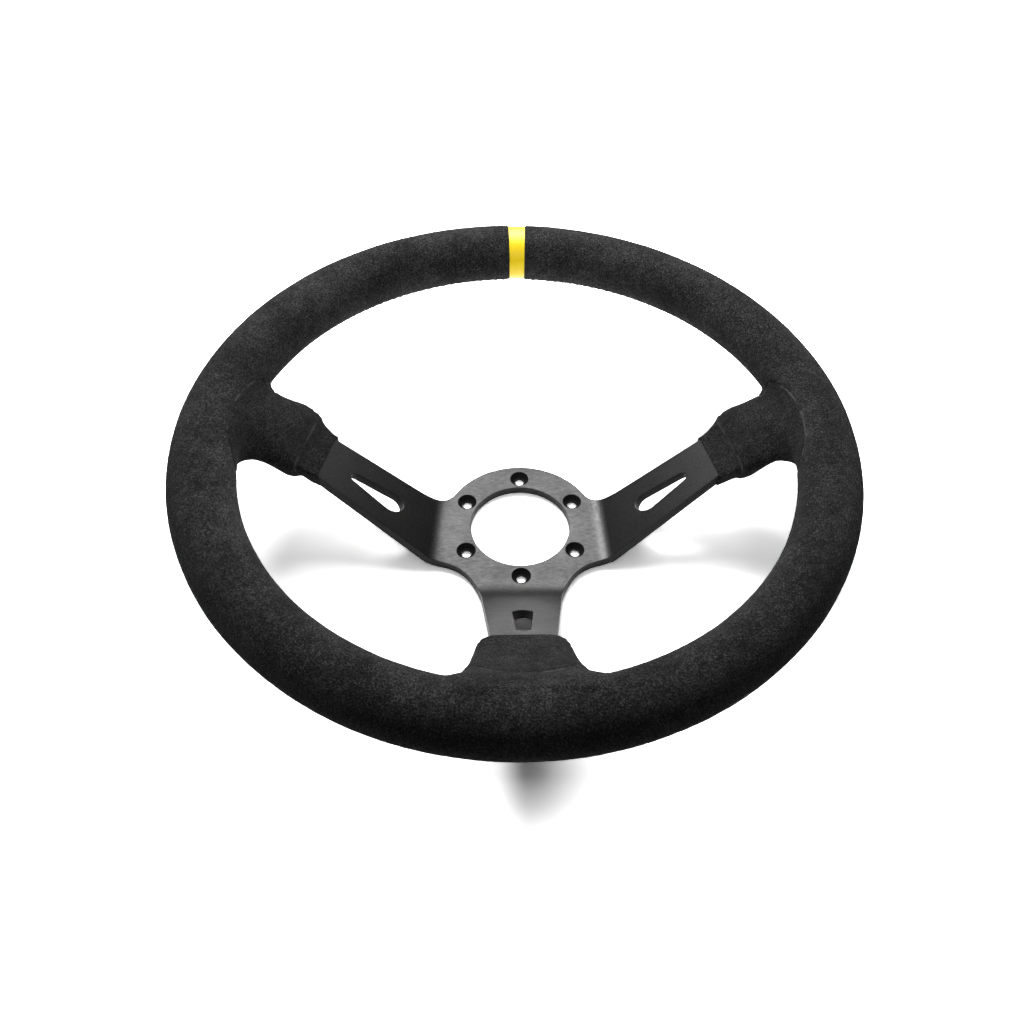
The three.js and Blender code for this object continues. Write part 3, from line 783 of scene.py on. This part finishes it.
def boot_suede(root, seed, material):
    """One boot: a skin from its cut hub end, which shows its thickness, to its seam on the rim."""
    step = 0.8
    along = np.arange(root.start - 2 * step, 47, step)
    across = np.arange(-44, 44, 0.85)
    height = np.arange(-13, 27, 0.75)
    points, quads = skin_net((along, across, height), root.point)
    depth = np.minimum(-root.seam(points), root.local(points)[0] - root.start)
    points, faces, border = trim(points, quads, depth)
    _, normals = onto_skin(points, 0)
    along, across, height = root.local(points)
    above, below = height > 0, height < 0
    near_step = np.exp(-(((along - 3.5) / 3.2) ** 2))
    folds = 0.22 * np.sin(along * 2.1 + 0.12 * across) * near_step * above
    closing = dip(np.abs(across), 1.5, 0.8, 1.5) * below
    to_seam = -root.seam(points)
    # The side boots' tongues start well before the step, whose crease is worn pale.
    has_tongue = root.start < -2
    crease = 0.7 * np.exp(-(((along - 0.3) / 0.4) ** 2)) * above * has_tongue
    edge_share = np.maximum(np.clip(1 - to_seam / CUT_WIDTH, 0, 1), crease)
    lift = suede_relief(points, seed) + folds - seam_dip(to_seam) - closing
    points = points + normals * lift[:, None]
    mouth_at = along - root.start < 0.01
    seam_edges = [edge for edge in border if not mouth_at[edge[0]]]
    mouth_edges = [edge for edge in border if mouth_at[edge[0]]]
    suede_end = len(points)
    points, faces, _ = with_skirt(points, faces, seam_edges, -SKIRT_DEPTH * normals)
    thickness = np.vstack([-SUEDE * normals, np.zeros((len(points) - suede_end, 3))])
    cut_start = len(points)
    points, faces, lip = with_skirt(points, faces, mouth_edges, thickness)
    cut_end = len(points)
    deeper = root.point(4.0, 0.0, 0.0) - root.point(0.0, 0.0, 0.0)
    points, faces, _ = with_skirt(points, faces, lip, np.tile(deeper, (len(points), 1)))
    share = np.zeros(len(points))
    share[:suede_end] = edge_share
    share[cut_start:cut_end] = 1
    return suede_piece(f"{root.name}_boot", points, faces, share, material)


# ---- The marker band ----


def marker_band():
    """The yellow band, lying a little below the suede and running under its folded ends."""
    theta = MARKER_ANGLE + np.linspace(-1, 1, 15) * MARKER_HALF * 1.25
    phi = np.arange(120) / 120 * 2 * math.pi
    grid_theta, grid_phi = np.meshgrid(theta, phi, indexing="ij")
    crown = 0.12 * (1 - ((grid_theta - MARKER_ANGLE) / MARKER_HALF) ** 2)
    reach = 1 - (0.5 - crown) / GRIP_HALF_WIDTH
    points = grip_point(grid_theta, grid_phi, reach).reshape(-1, 3)
    return make("marker_band", points, grid_faces(len(theta), len(phi)), MARKER_MATERIAL)


# ---- The bent plate ----


def arc_points(x, y, radius, start, end, count):
    """Points round (x, y), from one angle to another in degrees."""
    angles = np.radians(np.linspace(start, end, count))
    return [(x + radius * math.cos(a), y + radius * math.sin(a)) for a in angles]


def curve_points(start, control, end, count):
    """Points along a quadratic curve."""
    a, b, c = (np.array(point) for point in (start, control, end))
    t = np.linspace(0, 1, count)[:, None]
    return [tuple(p) for p in (1 - t) ** 2 * a + 2 * t * (1 - t) * b + t * t * c]


def line_points(start, end, step=3.0):
    """Points along a straight line, about step apart."""
    count = max(2, int(math.dist(start, end) / step) + 1)
    return [tuple(p) for p in np.linspace(start, end, count)]


def plate_outline():
    """The plate's plan, anticlockwise from twelve o'clock, as the CAD has it."""
    hub, cusp = 44.0, 45 * math.sqrt(0.5)
    top = [(58, 19.1), (108, 33.8), (164, 45)]
    bottom = [(50, -24.4), (108, 2.3), (165, 19.4)]
    foot = [(21.6, -50), (15.8, -98), (15.8, -165)]
    right = arc_points(0, 0, hub, 90, 31.7, 40)
    right += curve_points(right[-1], (42.7, 14.5), top[0], 22)[1:]
    right += line_points(top[0], top[1])[1:] + line_points(top[1], top[2])[1:]
    right += line_points(top[2], bottom[2], 4)[1:]
    right += line_points(bottom[2], bottom[1])[1:] + line_points(bottom[1], bottom[0])[1:]
    right += curve_points(bottom[0], (37.5, -26.2), (cusp, -cusp), 18)[1:]
    right += curve_points((cusp, -cusp), (24.8, -38.5), foot[0], 18)[1:]
    right += line_points(foot[0], foot[1])[1:] + line_points(foot[1], foot[2])[1:]
    left = [(-x, y) for x, y in reversed(right)]
    return (right + left[:-1])[::-1]


def teardrop(side):
    """A side spoke's slot, wide at the hub end."""
    wide, tip = (70.8, 3.9, 5.7), (89.4, 10.9, 2.7)
    heading = math.atan2(tip[1] - wide[1], tip[0] - wide[0])
    lean = math.acos((wide[2] - tip[2]) / math.hypot(tip[0] - wide[0], tip[1] - wide[1]))
    low, high = math.degrees(heading - lean), math.degrees(heading + lean)
    loop = arc_points(*tip, low, high, 16)
    end = arc_points(*wide, high, low + 360, 26)
    loop += line_points(loop[-1], end[0], 2)[1:] + end[1:]
    loop += line_points(end[-1], loop[0], 2)[1:-1]
    return [(side * x, y) for x, y in loop]


def window():
    """The bottom spoke's window, arched on its hub side."""
    corners = [(-5.3, -68.2), (-3.6, -86.2), (3.6, -86.2), (5.3, -68.2)]
    loop = line_points(corners[0], corners[1], 2)
    loop += curve_points(corners[1], (0, -87.4), corners[2], 8)[1:]
    loop += line_points(corners[2], corners[3], 2)[1:]
    loop += curve_points(corners[3], (0, -64.2), corners[0], 12)[1:-1]
    return loop


def offset_loop(loop, amount):
    """A closed loop moved sideways by amount, to the left of its direction."""
    loop = np.array(loop)
    ahead = np.roll(loop, -1, 0) - np.roll(loop, 1, 0)
    ahead /= np.linalg.norm(ahead, axis=1, keepdims=True)
    return loop + np.stack([-ahead[:, 1], ahead[:, 0]], -1) * amount


def wall_rings(loop):
    """An edge's rings from the top face to the bottom face, with both corners broken."""
    broken, rounded = 0.45, 0.13
    steps = [
        (broken, PLATE),
        (rounded, PLATE - rounded),
        (0, PLATE - broken),
        (0, broken),
        (rounded, rounded),
        (broken, 0),
    ]
    return [(offset_loop(loop, inset), height) for inset, height in steps]


def screw_rings(x, y):
    """A countersunk screw hole's rings, top first."""
    countersink = [(5.5, 0.0), (5.25, 0.1), (5.1, 0.3)]
    sizes = [(radius, PLATE - depth) for radius, depth in countersink]
    sizes += [(2.9, 2.45), (2.75, 2.2), (2.75, 0.35), (3.05, 0)]
    return [(np.array(arc_points(x, y, radius, 360, 7.5, 48)), z) for radius, z in sizes]


def bent(points):
    """Bends flat plate points up along each spoke's fold, keeping the top face's plan.

    Each spoke rises from its fold and turns level again in the flange that the rim sits on."""
    points = points.copy()
    half = math.tan(SLOPE / 2)
    flange_top = max(v.co.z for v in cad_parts["spoke_plate"].data.vertices) / MM
    flange_fold = FOLD + (flange_top - PLATE) / math.tan(SLOPE)
    flange_bend = 12.0
    flange_end = flange_fold + flange_bend * half
    for fold, radius in FOLDS:
        bend_start = FOLD - radius * half
        ahead = np.array([math.cos(fold), math.sin(fold)])
        out = points[:, :2] @ ahead
        side = points[:, :2] @ np.array([-ahead[1], ahead[0]])
        mine = (out > bend_start) & (np.abs(side) < out * 1.05)  # all of this spoke's points
        u = out[mine]
        angle = np.clip(np.arcsin(np.clip((u - bend_start) / radius, 0, 1)), 0, SLOPE)
        slope_start = bend_start + radius * math.sin(SLOPE)
        top = PLATE + radius * (1 - np.cos(angle))
        top += np.clip(u - slope_start, 0, None) * math.tan(SLOPE)
        crest = flange_end - flange_bend * math.sin(SLOPE)
        turn = np.arcsin(np.clip((flange_end - u) / flange_bend, 0, 1))
        past = u > crest
        angle = np.where(past, np.minimum(turn, SLOPE), angle)
        dropped = flange_bend * (1 - np.cos(np.minimum(turn, SLOPE)))
        top = np.where(past, flange_top - dropped, top)
        below = PLATE - points[mine, 2]
        shift = below * np.sin(angle)
        points[mine, 0] += ahead[0] * shift
        points[mine, 1] += ahead[1] * shift
        points[mine, 2] = top - below * np.cos(angle)
    return points


def plate_edges():
    """The rings of every edge: the outline, the bore, the slots, the window and the screw holes."""
    screw_circle, hub_bore = 35, 28
    bore = arc_points(0, 0, hub_bore, 360, 3.75, 96)
    loops = [plate_outline(), bore, teardrop(1)[::-1], teardrop(-1), window()[::-1]]
    edges = [wall_rings(loop) for loop in loops]
    for angle in np.radians(np.arange(30, 390, 60)):
        edges.append(screw_rings(screw_circle * math.cos(angle), screw_circle * math.sin(angle)))
    return edges


def flat_plate(edges):
    """The flat plate in a bmesh: walls down every edge, then the top and bottom faces."""
    work = bmesh.new()
    ends = {0: [], -1: []}
    for rings in edges:
        loops = [[work.verts.new((*p, height)) for p in ring] for ring, height in rings]
        for upper, lower in zip(loops, loops[1:], strict=False):
            for i in range(len(upper)):
                j = (i + 1) % len(upper)
                wall = work.faces.new((upper[i], lower[i], lower[j], upper[j]))
                # Walls below the top's broken corner take the edge material, which is painted
                # shade.
                wall.material_index = int(lower[i].co.z < PLATE - 1)
        for end in ends:
            ends[end].append(loops[end])
    for loops in ends.values():
        flat = [vert for loop in loops for vert in loop]
        for triangle in geometry.tessellate_polygon([[vert.co for vert in loop] for loop in loops]):
            work.faces.new([flat[i] for i in triangle])
    return work


def cut_at_bends(work):
    """Cuts a flat plate across where each spoke bends, so that its faces can follow the bends."""
    hub_reach = 20
    flange_cuts = list(np.linspace(143, 153, 9))
    for fold, radius in FOLDS:
        ahead = Vector((math.cos(fold), math.sin(fold), 0))
        start = FOLD - radius * math.tan(SLOPE / 2)
        cuts = [start + radius * math.sin(SLOPE * k / 12) for k in range(13)]
        for cut in cuts + flange_cuts:
            near = [f for f in work.faces if f.calc_center_median().dot(ahead) > hub_reach]
            parts = near + [e for f in near for e in f.edges] + [v for f in near for v in f.verts]
            bmesh.ops.bisect_plane(
                work, geom=list(set(parts)), dist=1e-4, plane_co=ahead * cut, plane_no=ahead
            )
    bmesh.ops.remove_doubles(work, verts=work.verts, dist=1e-4)


def bent_plate():
    """The whole plate, made flat, cut where it bends, and then bent."""
    work = flat_plate(plate_edges())
    cut_at_bends(work)
    points = bent(np.array([vert.co[:] for vert in work.verts]))
    work.verts.index_update()
    faces = [[vert.index for vert in face.verts] for face in work.faces]
    painted_shade_index = [face.material_index for face in work.faces]
    work.free()
    plate = make("bent_plate", points, faces, PLATE_MATERIAL, PLATE_EDGE_PAINTED_SHADE)
    plate.data.polygons.foreach_set("material_index", painted_shade_index)
    weighted = plate.modifiers.new("flat_faces", "WEIGHTED_NORMAL")
    weighted.keep_sharp = True
    weighted.weight = 80
    return plate


# ---- Thread ----


def stitch(start, end, normal):
    """One stitch: a short strand that comes up at start, crosses and goes down at end."""
    radius, lift, sunk = 0.36, 0.35, 0.35
    sides, rings = 7, 8
    ahead = end - start
    length = np.linalg.norm(ahead)
    ahead = ahead / length
    side = np.cross(normal, ahead)
    points = []
    for k in range(rings):
        t = k / (rings - 1)
        arch = 4 * t * (1 - t)
        centre = start + ahead * length * t + normal * (lift * arch**0.6 - sunk)
        for turn in np.arange(sides) / sides * 2 * math.pi:
            points.append(centre + radius * (math.cos(turn) * side + math.sin(turn) * normal))
    faces = [tuple(face) for face in grid_faces(rings, sides).tolist()]
    faces += [tuple(range(sides))[::-1], tuple(range((rings - 1) * sides, rings * sides))]
    return points, faces


def sewn(name, stitches):
    """One object from many stitches."""
    points, faces = [], []
    for start, end, normal in stitches:
        new_points, new_faces = stitch(start, end, normal)
        faces += [tuple(i + len(points) for i in face) for face in new_faces]
        points += new_points
    return make(name, np.array(points), faces, THREAD_MATERIAL)


def rim_lacing():
    """Slanted stitches across the seam on the grip's back, between the boots and the marker."""
    pitch = 4.6 / (RIM_RADIUS + GRIP_HALF_WIDTH * math.cos(SEAM_PHI))
    runs = [(93, 156), (193, 254), (286, 347), (384, 447)]
    stitches = []
    for start, end in runs:
        for theta in np.arange(math.radians(start), math.radians(end), pitch):
            across = 1.75 / GRIP_HALF_WIDTH
            a = grip_point(theta, SEAM_PHI - across, 1.0)
            b = grip_point(theta + pitch * 0.45, SEAM_PHI + across, 1.0)
            normal = grip_point(theta, SEAM_PHI, 1.0) - grip_point(theta, SEAM_PHI, 0.0)
            stitches.append((a, b, normal / np.linalg.norm(normal)))
    return sewn("rim_lacing", stitches)


def boot_stitching(root):
    """Stitches that close a boot along the underside of its spoke."""
    stitches = []
    for s in np.arange(3.0, 27.0, 3.6):
        ends = np.array([root.point(s, -1.8, -8.0), root.point(s + 1.4, 1.8, -8.0)])
        ends, normals = onto_skin(ends)
        stitches.append((ends[0], ends[1], normals[0]))
    return sewn(f"{root.name}_boot_stitching", stitches)


# ---- Padding ----


def foam_padding():
    """The moulded foam under the suede: the grip and three closed roots."""
    inset = SUEDE + 0.3
    side = np.arange(-OUTER_RADIUS - 4, OUTER_RADIUS + 4, 2.4)
    height = np.arange(RIM_HEIGHT - 40, RIM_HEIGHT + GRIP_HALF_HEIGHT + 4, 2.2)
    grid = np.stack(np.meshgrid(side, side, height, indexing="ij"), -1)
    net, quads = surface_nets(skin_distance(grid, begin=2.0) + inset)
    axes = (side, side, height)
    points = np.stack(along_axes(net, axes), -1)
    return make("foam_padding", points, quads.tolist(), FOAM_MATERIAL)


# ---- Putting the wheel together ----


def add(piece, slot, *nodes):
    """A piece rides on the wheel's one body and stands for CAD nodes, which are hidden. Its slot is
    not used.
    """
    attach(piece, "root")
    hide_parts(*nodes)
    return piece


add(bent_plate(), "plate", "spoke_plate")
foam = add(foam_padding(), "foam", "rim_foam")
rim = add(rim_suede(), "suede", "rim_cover")
# Each boot takes a copy of the suede that is darkened as painted shade.
boot_shaded_suedes = [SIDE_BOOT_SHADED_SUEDE, SIDE_BOOT_SHADED_SUEDE, BOTTOM_BOOT_SHADED_SUEDE]
boots = [
    add(boot_suede(root, seed, material), "suede", f"{root.name}_spoke_boot")
    for seed, (root, material) in enumerate(zip(ROOTS, boot_shaded_suedes, strict=True), 2)
]
add(marker_band(), "marker", "centre_marker")
runs = ("upper_left", "upper_right", "lower_left", "lower_right")
add(rim_lacing(), "thread", *(f"rim_thread_{run}" for run in runs))
for root in ROOTS:
    add(boot_stitching(root), "thread", f"{root.name}_boot_thread")

for node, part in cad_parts.items():
    if node == "rim_core" or "rivet" in node:
        part.data.materials.clear()
        part.data.materials.append(CORE_MATERIAL if node == "rim_core" else RIVET_MATERIAL)


# ---- Floor, light and camera ----

WHITE = (1, 1, 1)


def floor():
    """An overexposed studio floor, which glows except where the wheel's soft shadow falls."""
    bpy.ops.mesh.primitive_plane_add(size=40)
    plane = bpy.context.object
    plane.name = "floor"
    m = Nodes("studio_floor")
    m.set(Base_Color=(2.0, 2.0, 2.0), Roughness=0.9, Specular_IOR_Level=0.1, Emission_Color=WHITE)
    apart = m.add("ShaderNodeSeparateXYZ")
    m.link(m.coords, apart.inputs["Vector"])
    # Both ramps are in metres. The first has half a metre added, since a ramp starts at nought.
    back = m.maths("ADD", apart.outputs["Y"], 0.5)
    along = m.ramp(back, [(0.32, 1.0), (0.336, 0.4), (0.352, 0.0), (0.6, 0.0), (0.72, 1.0)])
    side = m.maths("ABSOLUTE", apart.outputs["X"], 0.0)
    sideways = m.ramp(side, [(0.06, 0.0), (0.12, 0.22), (0.24, 0.3), (0.3, 1.0)])
    # Painted light: this glow fades the wheel's shadows on the floor, all but a strip down its
    # middle.
    m.set(Emission_Strength=m.maths("MAXIMUM", along, sideways))
    plane.data.materials.append(m.material)
    plane.visible_diffuse = False


def backdrop():
    """A plain white dome that only the camera sees."""
    bpy.ops.mesh.primitive_uv_sphere_add(radius=18)
    dome = bpy.context.object
    dome.name = "backdrop"
    m = Nodes("white_backdrop")
    m.set(Base_Color=(0, 0, 0), Emission_Color=WHITE)
    m.set(Emission_Strength=1.0, Specular_IOR_Level=0.0)
    dome.data.materials.append(m.material)
    dome.visible_diffuse = False
    dome.visible_glossy = False
    dome.visible_shadow = False


def shine(name, lamp, place, back):
    """Adds a lamp that shines in the direction opposite to back."""
    light = linked(name, lamp)
    light.location = place
    light.rotation_euler = back.to_track_quat("Z", "Y").to_euler()
    return light


def sun(name, elevation, azimuth, strength, spread):
    """A soft light from far away. Azimuth 0 is behind the wheel's top, and grows towards +X."""
    lamp = bpy.data.lights.new(name, "SUN")
    lamp.energy = strength
    lamp.angle = math.radians(spread)
    up, turn = math.radians(elevation), math.radians(azimuth)
    back = Vector((math.sin(turn) * math.cos(up), math.cos(turn) * math.cos(up), math.sin(up)))
    shine(name, lamp, (0, 0, 0), back)


def softbox(name, place, aim, width, height, radiance, spread=180, shines=True):
    """A soft panel, in metres, that faces aim. The camera never sees it.

    spread, in degrees, narrows its beam. Without shines it has no reflections either."""
    lamp = bpy.data.lights.new(name, "AREA")
    lamp.shape = "RECTANGLE"
    lamp.size, lamp.size_y = width, height
    lamp.energy = 4 * radiance * width * height
    lamp.spread = math.radians(spread)
    light = shine(name, lamp, place, Vector(place) - Vector(aim))
    light.visible_camera = False
    light.visible_glossy = shines


def camera():
    """Looks down on the wheel from its lower side, turned and rolled a little, from close by."""
    elevation, yaw, roll = (math.radians(angle) for angle in (50.9, -6.54, 4.83))
    distance = 0.5813
    target = Vector((0.0306, 0.0096, PLATE * MM))
    level = math.cos(elevation)
    back = Vector((math.sin(yaw) * level, -math.cos(yaw) * level, math.sin(elevation)))
    right = Vector((math.cos(yaw), math.sin(yaw), 0))
    up = back.cross(right)
    rolled_right = right * math.cos(roll) + up * math.sin(roll)
    rolled_up = up * math.cos(roll) - right * math.sin(roll)
    data = bpy.data.cameras.new("camera")
    data.lens = 35.44
    data.sensor_width = 36
    data.shift_x = -0.0597
    data.clip_start = 0.01
    view = linked("camera", data)
    view.matrix_world = Matrix((rolled_right, rolled_up, back)).transposed().to_4x4()
    view.matrix_world.translation = target + back * distance
    bpy.context.scene.camera = view


def surroundings():
    """A studio that is bright high at the back, and dark in front and low down."""
    world = bpy.data.worlds.new("studio")
    world.use_nodes = True
    tree = world.node_tree
    place = tree.nodes.new("ShaderNodeTexCoord")
    towards = tree.nodes.new("ShaderNodeVectorMath")
    towards.operation = "DOT_PRODUCT"
    towards.inputs[1].default_value = (-0.08, 0.5, 0.86)
    tree.links.new(place.outputs["Generated"], towards.inputs[0])
    ramp = tree.nodes.new("ShaderNodeMapRange")
    for socket, value in (("From Min", 0.3), ("From Max", 1.0), ("To Min", 0.02), ("To Max", 0.4)):
        ramp.inputs[socket].default_value = value
    tree.links.new(towards.outputs["Value"], ramp.inputs["Value"])
    tree.links.new(ramp.outputs["Result"], tree.nodes["Background"].inputs["Strength"])
    tree.nodes["Background"].inputs["Color"].default_value = (*WHITE, 1)
    bpy.context.scene.world = world


floor()
backdrop()
surroundings()
softbox("back_softbox", (0, 0.42, 0.48), (0, 0, 0.04), 0.45, 0.45, 6.7)
softbox("front_softbox", (0, -0.25, 0.35), (0, 0.13, 0.08), 0.3, 0.2, 0.65, spread=50, shines=False)
softbox("floor_bounce", (0, 0.06, 0.001), (0, 0.06, 1), 0.3, 0.3, 1.3, shines=False)
sun("overhead_softbox", 80, 0, 0.12, 80)
sun("left_softbox", 47, -28, 1.2, 12)
bpy.context.scene.view_settings.view_transform = "Standard"
camera()
